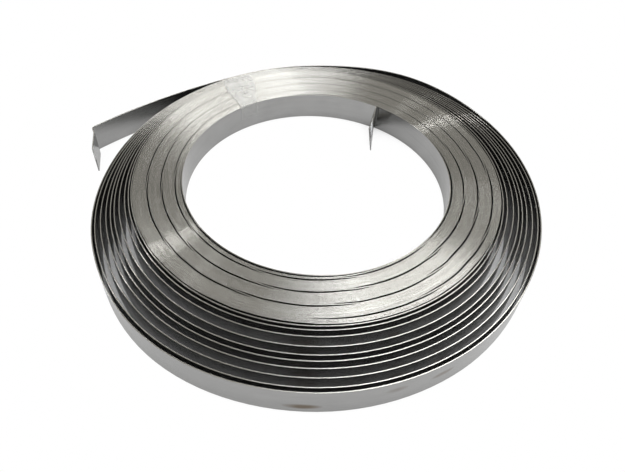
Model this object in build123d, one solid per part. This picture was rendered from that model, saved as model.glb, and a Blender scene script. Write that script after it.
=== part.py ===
from build123d import *
from math import cos, degrees, radians, sin
import os

# A coil of stainless steel strapping that lies flat on a floor, in millimetres.
# The bore's axis is along +Z, the floor is z = 0, and the free outer end of the strap points to -X.
# Angles are counter-clockwise from +X as seen from above, the way the strap is wound outwards.

# Strap
strap_width = 19.0
strap_thickness = 0.7

# Tight pack of turns round the bore
bore_radius = 84.0
pack_turns = 36
pack_gap = 0.04
turn_groove_depth = 0.25
turn_groove_half_width = 0.15

# Loose turns that have sprung open round the pack
# At the back they all lie pressed together, a small gap apart.
back_angle = 120.0
back_gap = 0.15
# How far each loose turn stands out at its widest from where it would lie pressed
turn_openings = [1.4, 2.1, 3.5, 5.1, 8.0, 12.8, 16.7, 19.2, 22.3, 26.4, 30.5, 32.3]
# The share of that opening round a turn, in even steps from the back to the back
opening_shares = [0.0, 0.05, 0.26, 0.62, 0.95, 1.0, 0.88, 0.66, 0.51, 0.38, 0.21, 0.05, 0.0]
# The outermost turn stands further off than the rest over its last quarter
last_turn_shares = [0.0, 0.05, 0.26, 0.62, 0.95, 1.0, 0.88, 0.66, 0.51, 0.42, 0.36, 0.09, 0.0]

# Outer end of the strap: a springy tail and its folded tip
tail_bend_radius = 380.0
tail_sweep_angle = 17.5
tip_fold_radius = 1.0
tip_fold_angle = 58.0
tip_length = 22.0

# Inner end of the strap, folded into the bore
tab_angle = 62.0
tab_fold_radius = 1.0
tab_fold_angle = 71.0
tab_length = 26.0

# Clear tape stuck across the pack, from the bore wall over the turns
# It lies askew, and it is gathered where it goes over the bore's rim.
tape_thickness = 0.1
tape_rim_angle = 127.0
tape_rim_width = 13.5
tape_end_angle = 122.5
tape_end_width = 20.5
tape_reach = 8.4
tape_bore_leg = 11.0
tape_wall_gap = 0.05

pack_pitch = strap_thickness + pack_gap
pack_radius = bore_radius + strap_thickness + (pack_turns - 1) * pack_pitch
back_pitch = strap_thickness + back_gap
# The grooved middle of the pack lies between these radii, half a turn in from where a turn ends.
ring_inner_radius = bore_radius + 1.5 * strap_thickness
ring_outer_radius = pack_radius - 0.5 * strap_thickness
same_radius = 0.0001
steps_per_turn = len(opening_shares) - 1


def polar(radius, angle):
    return Vector(radius * cos(radians(angle)), radius * sin(radians(angle)))


def spiral_point(step, inset):
    """A point of the strap's outer face, or so far in from it, some steps after the first loose turn's root."""
    turn, place = divmod(step, steps_per_turn)
    turns = step / steps_per_turn
    shares = last_turn_shares if turn == len(turn_openings) - 1 else opening_shares
    opening = turn_openings[turn] * shares[place] if step > 0 and place > 0 else 0.0
    radius = pack_radius + back_pitch * (1 + turns) + opening
    return polar(radius - inset, back_angle + 360.0 * turns)


def strap_side(first_turn, inset):
    """One side of the strap seen from above: spiral turns, springy tail and folded tip."""
    first_step = first_turn * steps_per_turn
    last_step = len(turn_openings) * steps_per_turn
    for step in range(first_step, last_step, 2):
        spiral = ThreePointArc(*[spiral_point(step + n, inset) for n in range(3)])
    tail = JernArc(spiral @ 1, polar(1.0, back_angle + 90.0), tail_bend_radius - inset, tail_sweep_angle)
    fold = JernArc(tail @ 1, tail % 1, tip_fold_radius + strap_thickness - inset, tip_fold_angle)
    return Line(fold @ 1, fold @ 1 + (fold % 1) * tip_length)


def make_loose_turns():
    """The loose turns, with the pack's last turn as the ring that they grow out of."""
    with BuildPart() as turns:
        with BuildSketch():
            with BuildLine():
                outer_tip = strap_side(-1, 0.0)
                inner_tip = strap_side(0, strap_thickness)
                Line(outer_tip @ 1, inner_tip @ 1)
                Line(spiral_point(-steps_per_turn, 0.0), spiral_point(0, strap_thickness))
            make_face()
            Circle(ring_outer_radius, mode=Mode.SUBTRACT)
        extrude(amount=strap_width)
    return turns.part


def make_pack():
    """The tight turns as one turned ring, with a groove between each turn and the next on both ends."""
    groove_radii = [bore_radius + strap_thickness + n * pack_pitch for n in range(1, pack_turns - 1)]
    profile = [(ring_inner_radius, 0.0)]
    for r in groove_radii:
        profile += [
            (r - turn_groove_half_width, 0.0),
            (r, turn_groove_depth),
            (r + turn_groove_half_width, 0.0),
        ]
    profile += [(ring_outer_radius, 0.0), (ring_outer_radius, strap_width)]
    for r in reversed(groove_radii):
        profile += [
            (r + turn_groove_half_width, strap_width),
            (r, strap_width - turn_groove_depth),
            (r - turn_groove_half_width, strap_width),
        ]
    profile += [(ring_inner_radius, strap_width)]
    with BuildPart() as ring:
        with BuildSketch(Plane.XZ):
            with BuildLine():
                Polyline(*profile, close=True)
            make_face()
        revolve(axis=Axis.Z)
    return ring.part


def make_inner_turn():
    """The first turn, which steps out by one thickness, with its end folded into the bore as a tab."""
    def bore_wall(step):
        turns = step / steps_per_turn
        return polar(bore_radius + strap_thickness * turns, tab_angle + 360.0 * turns)

    inwards = polar(1.0, tab_angle - 90.0)
    with BuildPart() as turn:
        with BuildSketch():
            Circle(ring_inner_radius)
            with BuildLine():
                for step in range(0, steps_per_turn, 2):
                    ThreePointArc(*[bore_wall(step + n) for n in range(3)])
                near_fold = JernArc(bore_wall(0), inwards, tab_fold_radius, -tab_fold_angle)
                far_fold = JernArc(
                    bore_wall(steps_per_turn), inwards, tab_fold_radius + strap_thickness, -tab_fold_angle
                )
                near_side = Line(near_fold @ 1, near_fold @ 1 + (near_fold % 1) * tab_length)
                far_side = Line(far_fold @ 1, far_fold @ 1 + (far_fold % 1) * tab_length)
                Line(near_side @ 1, far_side @ 1)
            make_face(mode=Mode.SUBTRACT)
        extrude(amount=strap_width)
    return turn.part


def without_walls(part, *radii):
    """The faces of a part, but for its round walls of these radii."""
    def is_wall(face):
        return face.geom_type == GeomType.CYLINDER and any(abs(face.radius - r) < same_radius for r in radii)

    return [face for face in part.faces() if not is_wall(face)]


def make_strap():
    """One solid: first turn, grooved pack and loose turns, joined where their round walls meet."""
    faces = without_walls(make_inner_turn(), ring_inner_radius)
    faces += without_walls(make_pack(), ring_inner_radius, ring_outer_radius)
    faces += without_walls(make_loose_turns(), ring_outer_radius)
    return Solid(Shell(faces))


def make_tape():
    """Thin tape flat on the turns' top edges, folded down the bore wall."""
    leg_outer = bore_radius - tape_wall_gap
    leg_inner = leg_outer - tape_thickness
    end_radius = pack_radius + tape_reach

    def across(radius, angle, width):
        """Three points across the tape, on a circle round the bore's axis."""
        half_angle = degrees(width / 2 / radius)
        return [polar(radius, angle + side * half_angle) for side in (-1, 0, 1)]

    with BuildPart() as tape:
        with BuildSketch(Plane.XY.offset(strap_width)):
            with BuildLine():
                film_end = ThreePointArc(*across(end_radius, tape_end_angle, tape_end_width))
                film_rim = ThreePointArc(*across(leg_inner, tape_rim_angle, tape_rim_width))
                Line(film_end @ 0, film_rim @ 0)
                Line(film_end @ 1, film_rim @ 1)
            make_face()
        extrude(amount=tape_thickness)
        with BuildSketch(Plane.XY.offset(strap_width - tape_bore_leg)):
            with BuildLine():
                leg_back = ThreePointArc(*across(leg_outer, tape_rim_angle, tape_rim_width))
                leg_front = ThreePointArc(*across(leg_inner, tape_rim_angle, tape_rim_width))
                Line(leg_back @ 0, leg_front @ 0)
                Line(leg_back @ 1, leg_front @ 1)
            make_face()
        extrude(amount=tape_bore_leg)
    return tape.part


os.makedirs("parts", exist_ok=True)
strap = make_strap()
# The frame's origin is on the floor under the middle of the whole coil.
middle = strap.bounding_box().center()
to_frame = Pos(-middle.X, -middle.Y, 0)
export_step(to_frame * strap, "parts/strap.step")
export_step(to_frame * make_tape(), "parts/clear_tape.step")
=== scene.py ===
import math

import bpy
import numpy as np
from mathutils import Matrix, Vector


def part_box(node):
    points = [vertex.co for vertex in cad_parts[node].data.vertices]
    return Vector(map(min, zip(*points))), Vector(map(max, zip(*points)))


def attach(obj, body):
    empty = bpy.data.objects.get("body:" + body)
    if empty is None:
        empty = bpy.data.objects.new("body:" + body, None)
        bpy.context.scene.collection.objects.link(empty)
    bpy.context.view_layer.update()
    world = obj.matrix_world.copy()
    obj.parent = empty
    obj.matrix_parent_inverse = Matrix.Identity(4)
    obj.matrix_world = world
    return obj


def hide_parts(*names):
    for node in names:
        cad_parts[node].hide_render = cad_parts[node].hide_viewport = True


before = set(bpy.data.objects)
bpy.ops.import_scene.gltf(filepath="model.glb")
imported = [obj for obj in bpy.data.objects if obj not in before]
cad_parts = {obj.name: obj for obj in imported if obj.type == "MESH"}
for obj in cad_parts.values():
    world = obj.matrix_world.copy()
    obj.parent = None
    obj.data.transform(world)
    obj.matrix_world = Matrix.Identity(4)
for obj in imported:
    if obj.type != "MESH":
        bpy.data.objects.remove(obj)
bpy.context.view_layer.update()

# The stainless steel strapping coil. Sizes are in metres, angles in degrees counter-clockwise
# from +X as seen from above, which is also the way the strap is wound outwards.
MM = 0.001

# Strap
STRAP_WIDTH = 19.0 * MM
STRAP_THICKNESS = 0.7 * MM
EDGE_ROUNDING = 0.22 * MM

# Tight pack of turns round the bore
BORE_RADIUS = 83.9 * MM
PACK_RADIUS = 110.6 * MM
PACK_TURNS = 36
TIGHT_GAP = 0.012 * MM
BACK_TIGHT_GAP = 0.04 * MM
# The strap is a little bowed at steady intervals of winding, and stands off the turn inside it there.
# These gaps lose most of their width at the back, where the turns are pressed together.
SLACK_LENGTH = 38.0
SLACK_GAP = 1.05 * MM
SLACK_SPOTS = np.concatenate([958.2 + 327.2 * np.arange(11), 4560.0 + 329.5 * np.arange(27)])
PRESSED_ANGLE = 110.0
LOST_WHERE_PRESSED = 0.72
# The first turn stands off the rest round these angles, so far to each side and with so wide a gap
FIRST_TURN_GAPS = ((242.0, 62.0, 1.2 * MM), (350.0, 38.0, 1.0 * MM), (88.0, 20.0, 0.6 * MM))

# Loose turns
BACK_ANGLE = 120.0
BACK_PITCH = 0.85 * MM
TURN_OPENINGS = [n * MM for n in (1.4, 2.1, 3.5, 5.1, 8.0, 12.8, 16.7, 19.2, 22.3, 26.4, 30.5, 32.3)]
OPENING_SHARES = [0.0, 0.05, 0.26, 0.62, 0.95, 1.0, 0.88, 0.66, 0.51, 0.38, 0.21, 0.05, 0.0]
LAST_TURN_SHARES = [0.0, 0.05, 0.26, 0.62, 0.95, 1.0, 0.88, 0.66, 0.51, 0.42, 0.36, 0.09, 0.0]

# Outer end
TAIL_BEND_RADIUS = 380.0 * MM
TAIL_SWEEP = 17.5
TIP_FOLD_RADIUS = 2.4 * MM
TIP_FOLD = 56.0
TIP_OVERBEND = 18.0
TIP_OVERBEND_LENGTH = 2.4 * MM
TIP_STRAIGHTENING_RADIUS = 4.0 * MM
TIP_LENGTH = 17.5 * MM

# Inner end
TAB_ANGLE = 62.0
TAB_FOLD_RADIUS = 1.0 * MM
TAB_FOLD = 71.0
TAB_LENGTH = 26.0 * MM
TAB_LEAN = -9.6

# Clear tape, askew over the pack and gathered at the bore's rim
TAPE_RIM_ANGLE = 127.0
TAPE_RIM_WIDTH = 13.5 * MM
TAPE_END_ANGLE = 122.5
TAPE_END_WIDTH = 20.5 * MM
TAPE_END_RADIUS = 119.0 * MM
TAPE_BORE_LEG = 11.0 * MM
TAPE_LIFT = 0.2 * MM
TAPE_WALL_GAP = 0.25 * MM
# The share of its length that lies on top, and how much its middle bulges there
TAPE_TOP_SHARE = 0.76
TAPE_BULGE = 0.22
# Crinkles, lower on the bore wall than on top
TAPE_CRINKLE = 0.5 * MM
TAPE_WALL_CRINKLE = 0.6
TAPE_RIPPLES = 26

# Points along the strap, and round it, two at each of its rounded corners
STEPS_PER_TURN = 144
STEP_ANGLE = 360.0 / STEPS_PER_TURN
TAIL_STEPS = 30
FOLD_STEPS = 8
SLIGHT_BEND_STEPS = 4
RUN_STEPS = 8
SHORT_RUN_STEPS = 2
PROFILE_POINTS = 8

# The strap's edges wander up and down a little
EDGE_WAVE = 0.10 * MM
EDGE_WAVE_INTERVAL = 180.0 * MM

# The crests of its edges shine as if they leaned a little, now to one side and now to the other
EDGE_SLANT = 0.05
LONG_SLANT = 700.0 * MM
SHORT_SLANT = 240.0 * MM
SHORT_SLANT_SHARE = 0.6
MEAN_SLANT = 0.5 * (1.0 + SHORT_SLANT_SHARE)

# Steel: its slit edges, and how often lines, patches and tones repeat in a metre along and across the strap
EDGE_BAND = 0.3 * MM
ROLLING_LINES = (7.0, 1400.0, 1.0)
CLOUDY_PATCHES = (70.0, 110.0, 1.0)
TURN_TONES = (3.1, 0.0, 1.0)
FACE_STOPS = [(0.25, (0.33, 0.33, 0.325)), (0.75, (0.42, 0.42, 0.415))]
EDGE_STOPS = [(0.25, (0.46, 0.455, 0.43)), (0.75, (0.60, 0.595, 0.565))]
FACE_ROUGHNESS = 0.11
PATCH_ROUGHNESS = 0.15
EDGE_ROUGHNESS = 0.25

# Faint brown smudges on the front of the outermost turn, beyond the last value here towards -Y.
# Each has a place along X, a height, a half length and a half height in millimetres, and a strength.
SMUDGES = ((6.0, 5.6, 10.5, 2.6, 1.0), (74.0, 10.5, 6.5, 2.4, 0.6), (51.0, 12.0, 6.0, 2.4, 0.45))
SMUDGE_COLOUR = (0.17, 0.135, 0.10, 1.0)
SMUDGED_FRONT = -98.0 * MM

# The tape's haze is thinner down the bore wall: from this height up it thickens over the next
HAZE_FADE_FOOT = 13.0 * MM
HAZE_FADE_HEIGHT = 6.0 * MM
HAZE_ON_WALL = 0.25

# Floor: its tone under light and in the steel, and how near over it a thing shades its glow, a painted shade
# made with ambient occlusion in place of a cast shadow
FLOOR_TONE = 0.90
FLOOR_TONE_IN_STEEL = 0.60
SHADE_REACH = 0.03
SHADE_REACH_IN_STEEL = 0.10
GLOW_IN_STEEL = 0.98
GLOW_SHARE_IN_STEEL = 0.6

# The room's tones, from level to straight up
ROOM_STOPS = [
    (0.0, (0.125, 0.12, 0.11)),
    (0.2, (0.165, 0.16, 0.15)),
    (0.5, (0.42, 0.405, 0.375)),
    (0.7, (0.44, 0.425, 0.395)),
    (1.0, (0.37, 0.355, 0.33)),
]

# Lamps: direction and height as angles, distance, turn about their own axis, size, radiance and colour
WHITE = (1.0, 1.0, 1.0)
COOL_WHITE = (0.93, 0.95, 1.0)
LAMPS = (
    ("back window", 29.1, 66.2, 2.13, 23.8, (0.88, 1.586), 4.8, WHITE),
    ("front window", -42.5, 76.3, 2.19, 0.9, (0.764, 1.734), 2.9, COOL_WHITE),
    ("far window", 98.0, 34.0, 1.76, 12.0, (0.66, 0.25), 3.6, WHITE),
    ("left tube", 175.0, 27.0, 1.5, 26.0, (0.14, 1.2), 6.0, WHITE),
    ("short tube", 196.5, 40.0, 1.5, 18.0, (0.10, 0.55), 2.4, WHITE),
)
# An area lamp's power for each square metre of it and each unit of radiance
LAMP_POWER = 4.0

# Camera, fitted to the photograph about the bore's axis
CAMERA_PLACE = Vector((-0.8, -279.2, 263.3)) * MM
CAMERA_PITCH = 47.59
CAMERA_YAW = 0.13
CAMERA_ROLL = -3.34
FOCAL_PIXELS = 580.7
PICTURE_WIDTH = 625
SENSOR_WIDTH = 36.0


def unit(angle):
    """The level direction at an angle, as x and y."""
    return np.array([math.cos(math.radians(angle)), math.sin(math.radians(angle))])


def smooth_between(values, place):
    """A value between the entries of a list, on a curve through them that starts and ends level."""
    low = min(int(place), len(values) - 2)
    past = place - low
    before, here, there, after = (values[min(max(low + n, 0), len(values) - 1)] for n in (-1, 0, 1, 2))
    bend = 2 * before - 5 * here + 4 * there - after
    swing = 3 * (here - there) + after - before
    return max(0.0, here + 0.5 * past * ((there - before) + past * (bend + past * swing)))


# The coil's middle line
def gap_inside(wound):
    """Gap between the strap and the turn inside it in the pack, after so many degrees of winding."""
    pressed = 0.5 + 0.5 * math.cos(math.radians(TAB_ANGLE + wound - PRESSED_ANGLE))
    gap = TIGHT_GAP + (BACK_TIGHT_GAP - TIGHT_GAP) * pressed
    off_spot = np.abs(wound - SLACK_SPOTS).min()
    if off_spot < SLACK_LENGTH / 2:
        bow = math.cos(math.pi * off_spot / SLACK_LENGTH) ** 0.5
        gap += SLACK_GAP * bow * (1.0 - LOST_WHERE_PRESSED * pressed ** 1.5)
    for angle, spread, width in FIRST_TURN_GAPS:
        off_angle = abs(TAB_ANGLE + wound - 360.0 - angle)
        if off_angle < spread:
            gap += width * math.cos(math.pi / 2 * off_angle / spread)
    return gap


def loose_radius(turns):
    """Radius of the strap's outer face, so many turns after the first loose turn's root."""
    turn = min(math.floor(turns), len(TURN_OPENINGS) - 1)
    opening = 0.0
    if turn >= 0:
        shares = LAST_TURN_SHARES if turn == len(TURN_OPENINGS) - 1 else OPENING_SHARES
        opening = TURN_OPENINGS[turn] * smooth_between(shares, (turns - turn) * (len(shares) - 1))
    return PACK_RADIUS + BACK_PITCH * (1 + turns) + opening


def coil_points():
    """The middle line from the inner end to where the tail leaves, as radii and angles."""
    root_wound = BACK_ANGLE - TAB_ANGLE + 360.0 * PACK_TURNS
    end_wound = root_wound + 360.0 * len(TURN_OPENINGS)
    steps = round(end_wound / STEP_ANGLE)
    step = end_wound / steps
    per_turn = 360.0 / step
    wound = np.arange(steps + 1) * step
    radii = np.zeros(steps + 1)
    for n, turned in enumerate(wound):
        if turned < 360.0:
            tight = BORE_RADIUS + STRAP_THICKNESS / 2 + STRAP_THICKNESS * (turned / 360.0) ** 3
        else:
            inner = np.interp(n - per_turn, np.arange(n), radii[:n])
            gap = gap_inside(turned) if turned < root_wound - 360.0 else TIGHT_GAP
            tight = inner + STRAP_THICKNESS + gap
        turns = (turned - root_wound) / 360.0
        loose = loose_radius(turns) - STRAP_THICKNESS / 2 if turns > -1.0 else 0.0
        radii[n] = max(tight, loose)
    return radii, TAB_ANGLE + wound


def arc_points(start, heading, radius, sweep, steps):
    """Points of an arc from a place and heading, which turns left, or right where sweep is negative."""
    side = math.copysign(1.0, sweep)
    centre = start + unit(heading + 90.0 * side) * radius
    turns = np.linspace(0.0, sweep, steps + 1)[1:]
    return [centre - unit(heading + 90.0 * side + turn) * radius for turn in turns], heading + sweep


def run_points(start, heading, length, steps):
    """Points of a straight run that starts at a place and heading."""
    return [start + unit(heading) * reach for reach in np.linspace(0.0, length, steps + 1)[1:]]


def strap_line():
    """The strap's whole middle line seen from above, and how far it leans over at each point."""
    radii, angles = coil_points()
    coil = [radius * unit(angle) for radius, angle in zip(radii, angles)]
    heading = TAB_ANGLE - 90.0
    fold_radius = TAB_FOLD_RADIUS + STRAP_THICKNESS / 2
    fold, heading = arc_points(coil[0], heading, fold_radius, -TAB_FOLD, FOLD_STEPS)
    tab = run_points(fold[-1], heading, TAB_LENGTH, RUN_STEPS)
    tab_leans = [*([0.0] * len(fold)), *np.linspace(0.0, TAB_LEAN, RUN_STEPS + 1)[1:]]
    heading = BACK_ANGLE + 90.0
    bend_radius = TAIL_BEND_RADIUS - STRAP_THICKNESS / 2
    tail, heading = arc_points(coil[-1], heading, bend_radius, TAIL_SWEEP, TAIL_STEPS)
    fold_radius = TIP_FOLD_RADIUS + STRAP_THICKNESS / 2
    crease, heading = arc_points(tail[-1], heading, fold_radius, TIP_FOLD + TIP_OVERBEND, FOLD_STEPS)
    crease += run_points(crease[-1], heading, TIP_OVERBEND_LENGTH, SHORT_RUN_STEPS)
    back_bend, heading = arc_points(
        crease[-1], heading, TIP_STRAIGHTENING_RADIUS, -TIP_OVERBEND, SLIGHT_BEND_STEPS
    )
    crease += back_bend
    tip = run_points(crease[-1], heading, TIP_LENGTH, RUN_STEPS)
    points = [*reversed(fold + tab), *coil, *tail, *crease, *tip]
    leans = [*reversed(tab_leans), *([0.0] * len(coil + tail + crease + tip))]
    return np.array(points), np.array(leans)


# Geometry Nodes
class Tree:
    """A geometry tree with named inputs, whose nodes are added one by one."""

    def __init__(self, name):
        self.group = bpy.data.node_groups.new(name, "GeometryNodeTree")
        self.group.interface.new_socket("Geometry", in_out="INPUT", socket_type="NodeSocketGeometry")
        self.group.interface.new_socket("Geometry", in_out="OUTPUT", socket_type="NodeSocketGeometry")
        self.start = self.group.nodes.new("NodeGroupInput")
        self.end = self.group.nodes.new("NodeGroupOutput")

    def input(self, name, kind, value=None):
        item = self.group.interface.new_socket(name, in_out="INPUT", socket_type=kind)
        if value is not None:
            item.default_value = value
        return self.start.outputs[name]

    def node(self, kind, settings=None, **sockets):
        node = self.group.nodes.new(kind)
        for name, value in (settings or {}).items():
            setattr(node, name, value)
        for name, value in sockets.items():
            socket = node.inputs[name.replace("_", " ")]
            if isinstance(value, bpy.types.NodeSocket):
                self.group.links.new(value, socket)
            else:
                socket.default_value = value
        return node

    def link(self, start, end):
        self.group.links.new(start, end)


def strip_tree():
    """Sweeps a strip with rounded edges along a curve: its width stands up, its thickness lies level."""
    tree = Tree("Strip along its line")
    width = tree.input("Strap Width", "NodeSocketFloat", STRAP_WIDTH)
    thickness = tree.input("Strap Thickness", "NodeSocketFloat", STRAP_THICKNESS)
    rounding = tree.input("Edge Rounding", "NodeSocketFloat", EDGE_ROUNDING)
    material = tree.input("Material", "NodeSocketMaterial")
    profile = tree.node("GeometryNodeCurvePrimitiveQuadrilateral", Width=thickness, Height=width)
    rounded = tree.node(
        "GeometryNodeFilletCurve", {"mode": "POLY"}, Curve=profile.outputs[0], Count=1, Radius=rounding
    )
    swept = tree.node(
        "GeometryNodeCurveToMesh",
        Curve=tree.start.outputs["Geometry"],
        Profile_Curve=rounded.outputs[0],
        Fill_Caps=True,
    )
    smooth = tree.node("GeometryNodeSetShadeSmooth", Geometry=swept.outputs[0], Shade_Smooth=True)
    real = tree.node("GeometryNodeRealizeInstances", Geometry=smooth.outputs[0])
    coloured = tree.node("GeometryNodeSetMaterial", Geometry=real.outputs[0], Material=material)
    tree.link(coloured.outputs[0], tree.end.inputs["Geometry"])
    return tree.group


def apply_tree(source, group, name, **inputs):
    """The mesh that a tree makes of an object, as a plain object of its own."""
    modifier = source.modifiers.new("tree", "NODES")
    modifier.node_group = group
    for item in group.interface.items_tree:
        key = item.name.replace(" ", "_")
        if item.item_type == "SOCKET" and item.in_out == "INPUT" and key in inputs:
            modifier[item.identifier] = inputs[key]
    evaluated = source.evaluated_get(bpy.context.evaluated_depsgraph_get())
    mesh = bpy.data.meshes.new_from_object(evaluated)
    bpy.data.objects.remove(source)
    mesh.name = name
    piece = bpy.data.objects.new(name, mesh)
    bpy.context.scene.collection.objects.link(piece)
    return piece


def poly_curve(name, points, tilts):
    """A curve of straight runs through points, with a tilt at each."""
    curve = bpy.data.curves.new(name, "CURVE")
    curve.dimensions = "3D"
    curve.twist_mode = "Z_UP"
    spline = curve.splines.new("POLY")
    spline.points.add(len(points) - 1)
    spline.points.foreach_set("co", np.column_stack([points, np.ones(len(points))]).ravel())
    spline.points.foreach_set("tilt", np.asarray(tilts, float))
    piece = bpy.data.objects.new(name, curve)
    bpy.context.scene.collection.objects.link(piece)
    return piece


# Shader values
class Value:
    """A shader socket that numbers and other values can be added to, multiplied by and so on."""

    def __init__(self, owner, socket):
        self.owner = owner
        self.socket = socket

    def math(self, operation, other):
        return self.owner.add("ShaderNodeMath", {"operation": operation}, {0: self, 1: other})

    def __add__(self, other):
        return self.math("ADD", other)

    def __radd__(self, other):
        return self.math("ADD", other)

    def __sub__(self, other):
        return self.math("SUBTRACT", other)

    def __rsub__(self, other):
        return self.owner.add("ShaderNodeMath", {"operation": "SUBTRACT"}, {0: other, 1: self})

    def __mul__(self, other):
        return self.math("MULTIPLY", other)

    def __rmul__(self, other):
        return self.math("MULTIPLY", other)

    def __truediv__(self, other):
        return self.math("DIVIDE", other)


class ShaderNodes:
    """The nodes of a material or of the world, which are added by one method."""

    def __init__(self, tree):
        self.nodes = tree.nodes
        self.links = tree.links

    def add(self, kind, settings=None, sockets=None, output=0):
        node = self.nodes.new(kind)
        for name, value in (settings or {}).items():
            if name == "stops":
                ramp = node.color_ramp
                for n, (place, colour) in enumerate(value):
                    stop = ramp.elements[n] if n < len(ramp.elements) else ramp.elements.new(place)
                    stop.position = place
                    stop.color = (*colour, 1.0)
            else:
                setattr(node, name, value)
        for key, value in (sockets or {}).items():
            if isinstance(value, Value):
                self.links.new(value.socket, node.inputs[key])
            else:
                node.inputs[key].default_value = value
        return Value(self, node.outputs[output])


class Finish(ShaderNodes):
    """A material, with its main shader."""

    def __init__(self, name):
        self.material = bpy.data.materials.new(name)
        self.material.use_nodes = True
        super().__init__(self.material.node_tree)
        self.shader = self.nodes["Principled BSDF"]

    def set(self, **sockets):
        for key, value in sockets.items():
            socket = self.shader.inputs[key.replace("_", " ")]
            if isinstance(value, Value):
                self.links.new(value.socket, socket)
            else:
                socket.default_value = value


def stainless_finish():
    """Bright cold-rolled stainless: rolling lines along the strap, cloudy patches, lighter slit edges."""
    steel = Finish("stainless strap")
    along = steel.add("ShaderNodeUVMap", {"uv_map": "StripMap"})
    height = steel.add("ShaderNodeSeparateXYZ", sockets={0: along}, output=1)
    low_edge = height.math("LESS_THAN", EDGE_BAND)
    top_edge = height.math("GREATER_THAN", STRAP_WIDTH - EDGE_BAND)
    edge = low_edge + top_edge
    lines_place = steel.add("ShaderNodeMapping", sockets={"Vector": along, "Scale": ROLLING_LINES})
    lines = steel.add("ShaderNodeTexNoise", sockets={"Vector": lines_place, "Scale": 1.0, "Detail": 4.0})
    patches_place = steel.add("ShaderNodeMapping", sockets={"Vector": along, "Scale": CLOUDY_PATCHES})
    patches = steel.add("ShaderNodeTexNoise", sockets={"Vector": patches_place, "Scale": 1.0, "Detail": 3.0})
    tone_place = steel.add("ShaderNodeMapping", sockets={"Vector": along, "Scale": TURN_TONES})
    tone = steel.add("ShaderNodeTexNoise", sockets={"Vector": tone_place, "Scale": 1.0, "Detail": 5.0})
    mottle = 0.45 * lines + 0.55 * patches
    face_colour = steel.add("ShaderNodeValToRGB", {"stops": FACE_STOPS}, {0: mottle})
    edge_colour = steel.add("ShaderNodeValToRGB", {"stops": EDGE_STOPS}, {0: tone})
    where = steel.add("ShaderNodeTexCoord", output=3)
    across, forward, up = (steel.add("ShaderNodeSeparateXYZ", sockets={0: where}, output=n) for n in range(3))
    smudge = 0.0
    for place, high, half_length, half_height, strength in SMUDGES:
        off_along = (across - place * MM) / (half_length * MM)
        off_up = (up - high * MM) / (half_height * MM)
        smudge = (1.0 - off_along * off_along - off_up * off_up).math("MAXIMUM", 0.0) * strength + smudge
    smudge = smudge * forward.math("LESS_THAN", SMUDGED_FRONT) * (0.3 + 1.5 * patches)
    mixed = {"data_type": "RGBA"}
    stained = steel.add("ShaderNodeMix", mixed, {0: smudge, 6: face_colour, 7: SMUDGE_COLOUR}, output=2)
    colour = steel.add("ShaderNodeMix", mixed, {0: edge, 6: stained, 7: edge_colour}, output=2)
    grooves = lines * (1 - edge)
    bump = steel.add("ShaderNodeBump", sockets={"Strength": 0.10, "Distance": 0.05 * MM, "Height": grooves})
    steel.set(
        Base_Color=colour,
        Metallic=1.0,
        Roughness=edge * EDGE_ROUGHNESS + (1 - edge) * (FACE_ROUGHNESS + patches * PATCH_ROUGHNESS),
        Anisotropic=0.9,
        Anisotropic_Rotation=0.25,
        Normal=bump,
    )
    return steel.material


def tape_finish():
    """Clear film with a milky haze that is thicker along its crinkles."""
    tape = Finish("clear tape")
    where = tape.add("ShaderNodeTexCoord", output=3)
    height = tape.add("ShaderNodeSeparateXYZ", sockets={0: where}, output=2)
    creases = tape.add("ShaderNodeTexNoise", sockets={"Vector": where, "Scale": 260.0, "Detail": 3.0})
    haze = tape.add("ShaderNodeTexNoise", sockets={"Vector": where, "Scale": 110.0, "Detail": 2.0})
    on_top = ((height - HAZE_FADE_FOOT) / HAZE_FADE_HEIGHT).math("MINIMUM", 1.0).math("MAXIMUM", 0.0)
    bump = tape.add("ShaderNodeBump", sockets={"Strength": 0.4, "Distance": 0.4 * MM, "Height": creases})
    tape.set(
        Base_Color=(0.74, 0.75, 0.73, 1.0),
        Roughness=0.14,
        Alpha=(0.05 + haze * 0.40 + creases * 0.20) * (HAZE_ON_WALL + (1 - HAZE_ON_WALL) * on_top),
        Normal=bump,
    )
    return tape.material


# Pieces
def wander(lengths, interval, seed):
    """Slow uneven waves from 0 to 1 at these lengths along the strap, with a knot at each interval."""
    knots = np.random.default_rng(seed).random(int(lengths[-1] / interval) + 3)
    place = lengths / interval
    low = place.astype(int)
    past = place - low
    ease = past * past * (3 - 2 * past)
    return knots[low] * (1 - ease) + knots[low + 1] * ease


def make_strap(shift):
    """The whole strap, swept along its middle line, with its rounded edges' own normals."""
    line, leans = strap_line()
    lengths = np.concatenate([[0.0], np.cumsum(np.linalg.norm(np.diff(line, axis=0), axis=1))])
    heights = STRAP_WIDTH / 2 + EDGE_WAVE * wander(lengths, EDGE_WAVE_INTERVAL, 11)
    points = np.column_stack([line + shift, heights])
    source = poly_curve("strap line", points, np.radians(leans))
    piece = apply_tree(
        source,
        strip_tree(),
        "strapping",
        Strap_Width=STRAP_WIDTH,
        Strap_Thickness=STRAP_THICKNESS,
        Edge_Rounding=EDGE_ROUNDING,
        Material=stainless_finish(),
    )
    finish_strap(piece.data, points, lengths)
    return piece


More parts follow.
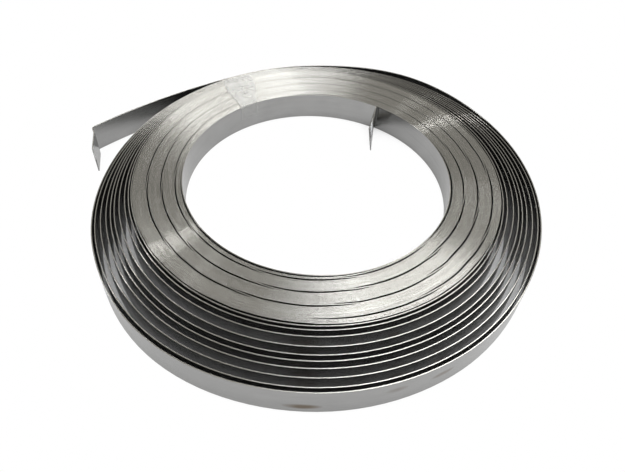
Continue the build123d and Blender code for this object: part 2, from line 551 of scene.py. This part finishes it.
def finish_strap(mesh, points, lengths):
    """Gives the swept strip its UV map and normals that turn smoothly over its rounded edges."""
    ring = PROFILE_POINTS
    count = len(points)
    places = np.zeros(len(mesh.vertices) * 3)
    mesh.vertices.foreach_get("co", places)
    places = places.reshape(-1, 3)[: count * ring].reshape(count, ring, 3)
    offsets = places - points[:, None, :]
    along = np.gradient(points, axis=0)
    along /= np.linalg.norm(along, axis=1)[:, None]
    level = offsets.copy()
    level[..., 2] = 0.0
    level -= (level * along[:, None, :]).sum(-1)[..., None] * along[:, None, :]
    level_length = np.linalg.norm(level, axis=-1)
    on_side = level_length > STRAP_THICKNESS / 2 - 0.25 * EDGE_ROUNDING
    side = level / np.maximum(level_length, 1e-6 * MM)[..., None]
    out = np.column_stack([along[:, 1], -along[:, 0], np.zeros(count)])
    leaning = wander(lengths, LONG_SLANT, 3) + SHORT_SLANT_SHARE * wander(lengths, SHORT_SLANT, 5)
    slants = EDGE_SLANT * (leaning - MEAN_SLANT)
    crest = np.zeros_like(offsets)
    crest[..., 2] = np.sign(offsets[..., 2])
    crest += (out * slants[:, None])[:, None, :]
    normals = np.where(on_side[..., None], side, crest)
    all_normals = np.zeros((len(mesh.vertices), 3))
    all_normals[: count * ring] = normals.reshape(-1, 3)
    mesh.normals_split_custom_set_from_vertices(all_normals)
    uv_of = np.zeros((len(mesh.vertices), 2))
    uv_of[: count * ring, 0] = np.repeat(lengths, ring)
    uv_of[: count * ring, 1] = (offsets[..., 2] + STRAP_WIDTH / 2).ravel()
    loops = np.zeros(len(mesh.loops), int)
    mesh.loops.foreach_get("vertex_index", loops)
    layer = mesh.uv_layers.new(name="StripMap")
    layer.data.foreach_set("uv", uv_of[loops].ravel())


def make_tape(shift):
    """Clear tape over the turns' top edges and down the bore wall, gathered and crinkled."""
    across = np.linspace(-1.0, 1.0, 56)
    film = np.linspace(0.0, 1.0, 64)
    middle_end = TAPE_END_RADIUS * unit(TAPE_END_ANGLE)
    middle_rim = BORE_RADIUS * unit(TAPE_RIM_ANGLE)
    rows = []
    for run in film:
        over = min(run / TAPE_TOP_SHARE, 1.0)
        down = max(run - TAPE_TOP_SHARE, 0.0) / (1.0 - TAPE_TOP_SHARE)
        spread = 1.0 + TAPE_BULGE * math.sin(math.pi * min(over * 1.3, 1.0)) if over < 1.0 else 1.0
        middle = (1 - over) * middle_end + over * middle_rim
        row = []
        for side in across:
            end_angle = TAPE_END_ANGLE + math.degrees(side * TAPE_END_WIDTH / 2 / TAPE_END_RADIUS)
            rim_angle = TAPE_RIM_ANGLE + math.degrees(side * TAPE_RIM_WIDTH / 2 / BORE_RADIUS)
            end = TAPE_END_RADIUS * unit(end_angle)
            rim = (BORE_RADIUS - TAPE_WALL_GAP) * unit(rim_angle)
            place = middle + ((1 - over) * end + over * rim - middle) * spread
            row.append((*place, STRAP_WIDTH + TAPE_LIFT - down * TAPE_BORE_LEG))
        rows.append(row)
    grid = np.array(rows)
    ripples = np.random.default_rng(4)
    height = np.zeros(grid.shape[:2])
    run, side = np.meshgrid(film, across, indexing="ij")
    for _ in range(TAPE_RIPPLES):
        turn = ripples.uniform(0.0, math.pi)
        often = ripples.uniform(14.0, 60.0)
        place = run * math.cos(turn) * 2.0 + side * math.sin(turn)
        wave = np.sin(often * place + ripples.uniform(0.0, 6.3))
        height += np.abs(wave) ** 3 * ripples.uniform(0.3, 1.0)
    height = TAPE_CRINKLE * height / height.max()
    on_wall = run > TAPE_TOP_SHARE
    grid[..., 2] += np.where(on_wall, 0.0, height)
    inwards = -grid[..., :2] / np.linalg.norm(grid[..., :2], axis=-1)[..., None]
    grid[..., :2] += np.where(on_wall, TAPE_WALL_CRINKLE * height, 0.0)[..., None] * inwards
    grid[..., :2] += shift
    count = len(across)
    corners = [row * count + place for row in range(len(film) - 1) for place in range(count - 1)]
    faces = [(corner, corner + 1, corner + count + 1, corner + count) for corner in corners]
    mesh = bpy.data.meshes.new("tape_film")
    mesh.from_pydata([tuple(place) for place in grid.reshape(-1, 3)], [], faces)
    mesh.polygons.foreach_set("use_smooth", [True] * len(mesh.polygons))
    mesh.materials.append(tape_finish())
    film_sheet = bpy.data.objects.new("tape_film", mesh)
    bpy.context.scene.collection.objects.link(film_sheet)
    return film_sheet


def make_floor():
    """A white floor: it glows white to the camera and duller in the steel, but not close under the coil,
    where ambient occlusion paints shade into its glow.
    """
    bpy.ops.mesh.primitive_plane_add(size=20.0)
    floor = bpy.context.object
    floor.name = "floor"
    paper = Finish("white floor")
    to_camera = paper.add("ShaderNodeLightPath", output=0)
    to_gloss = paper.add("ShaderNodeLightPath", output=3)
    tone = FLOOR_TONE - to_gloss * (FLOOR_TONE - FLOOR_TONE_IN_STEEL)
    paper.set(Base_Color=tone, Roughness=1.0, Specular_IOR_Level=0.0)
    through = paper.add("ShaderNodeLightPath", output=6)
    reach = SHADE_REACH_IN_STEEL - to_camera * (SHADE_REACH_IN_STEEL - SHADE_REACH)
    # Painted shade: ambient occlusion fades the floor's glow near the coil and in the gaps between its turns,
    # further in the steel than to the camera.
    open_above = paper.add("ShaderNodeAmbientOcclusion", {"samples": 8}, {"Distance": reach}, output=1)
    clear = (open_above * 2.3).math("MINIMUM", 1.0)
    clear_to_gloss = (open_above * 2.5 - 0.35).math("MINIMUM", 1.0).math("MAXIMUM", 0.0)
    shown = to_camera.math("MAXIMUM", through) * clear
    share = shown.math("MAXIMUM", to_gloss * clear_to_gloss * GLOW_SHARE_IN_STEEL)
    strength = 1.0 - to_gloss * (1.0 - GLOW_IN_STEEL)
    glow = paper.add("ShaderNodeEmission", sockets={"Strength": strength})
    mix = paper.add("ShaderNodeMixShader", sockets={0: share, 2: glow})
    tree = paper.material.node_tree
    tree.links.new(paper.shader.outputs[0], mix.socket.node.inputs[1])
    tree.links.new(mix.socket, tree.nodes["Material Output"].inputs["Surface"])
    floor.data.materials.append(paper.material)


def make_lamp(middle, name, azimuth, elevation, distance, roll, size, radiance, colour):
    """A soft rectangular lamp that faces the coil, as bright as a surface of that radiance."""
    level = unit(azimuth) * math.cos(math.radians(elevation))
    away = Vector((level[0], level[1], math.sin(math.radians(elevation))))
    side = Vector((0.0, 0.0, 1.0)).cross(away).normalized()
    up = away.cross(side)
    turn = math.radians(roll)
    across = math.cos(turn) * side + math.sin(turn) * up
    along = math.cos(turn) * up - math.sin(turn) * side
    data = bpy.data.lights.new(name, "AREA")
    data.shape = "RECTANGLE"
    data.size, data.size_y = size
    data.energy = LAMP_POWER * size[0] * size[1] * radiance
    data.color = colour
    lamp = bpy.data.objects.new(name, data)
    facing = Matrix((across, along, away)).transposed().to_4x4()
    lamp.matrix_world = Matrix.Translation(middle + away * distance) @ facing
    bpy.context.scene.collection.objects.link(lamp)


def make_world():
    """A plain grey room, dim near the floor and lighter high up, which the camera sees as white."""
    world = bpy.data.worlds.new("studio")
    bpy.context.scene.world = world
    world.use_nodes = True
    room = ShaderNodes(world.node_tree)
    direction = room.add("ShaderNodeTexCoord", output=0)
    height = room.add("ShaderNodeSeparateXYZ", sockets={0: direction}, output=2)
    walls = room.add("ShaderNodeValToRGB", {"stops": ROOM_STOPS}, {0: height})
    to_camera = room.add("ShaderNodeLightPath", output=0)
    mixed = {"data_type": "RGBA"}
    shown = room.add("ShaderNodeMix", mixed, {0: to_camera, 6: walls, 7: (*WHITE, 1.0)}, output=2)
    room.links.new(shown.socket, room.nodes["Background"].inputs["Color"])


def make_camera(origin):
    """The camera where the photograph was taken from."""
    pitch, yaw, roll = (math.radians(angle) for angle in (CAMERA_PITCH, CAMERA_YAW, CAMERA_ROLL))
    forward = Vector((math.sin(yaw) * math.cos(pitch), math.cos(yaw) * math.cos(pitch), -math.sin(pitch)))
    right = Vector((math.cos(yaw), -math.sin(yaw), 0.0))
    down = forward.cross(right)
    turned_right = math.cos(roll) * right + math.sin(roll) * down
    turned_down = -math.sin(roll) * right + math.cos(roll) * down
    data = bpy.data.cameras.new("camera")
    data.sensor_width = SENSOR_WIDTH
    data.lens = FOCAL_PIXELS / PICTURE_WIDTH * SENSOR_WIDTH
    data.clip_start = 0.01
    camera = bpy.data.objects.new("camera", data)
    turn = Matrix((turned_right, -turned_down, -forward)).transposed()
    camera.matrix_world = Matrix.Translation(origin + CAMERA_PLACE) @ turn.to_4x4()
    bpy.context.scene.collection.objects.link(camera)
    bpy.context.scene.camera = camera


def bore_place():
    """Where the bore's axis stands: the strap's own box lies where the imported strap's box does."""
    line, _ = strap_line()
    low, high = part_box("strap")
    return np.array([(low.x + high.x) / 2, (low.y + high.y) / 2]) - (line.min(0) + line.max(0)) / 2


bore = bore_place()
strapping = make_strap(bore)
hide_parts("strap")
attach(strapping, "root")
tape = make_tape(bore)
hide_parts("clear_tape")
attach(tape, "root")

make_floor()
make_world()
middle = Vector((bore[0], bore[1], 0.0))
for lamp in LAMPS:
    make_lamp(middle, *lamp)
make_camera(middle)
bpy.context.scene.view_settings.view_transform = "Standard"
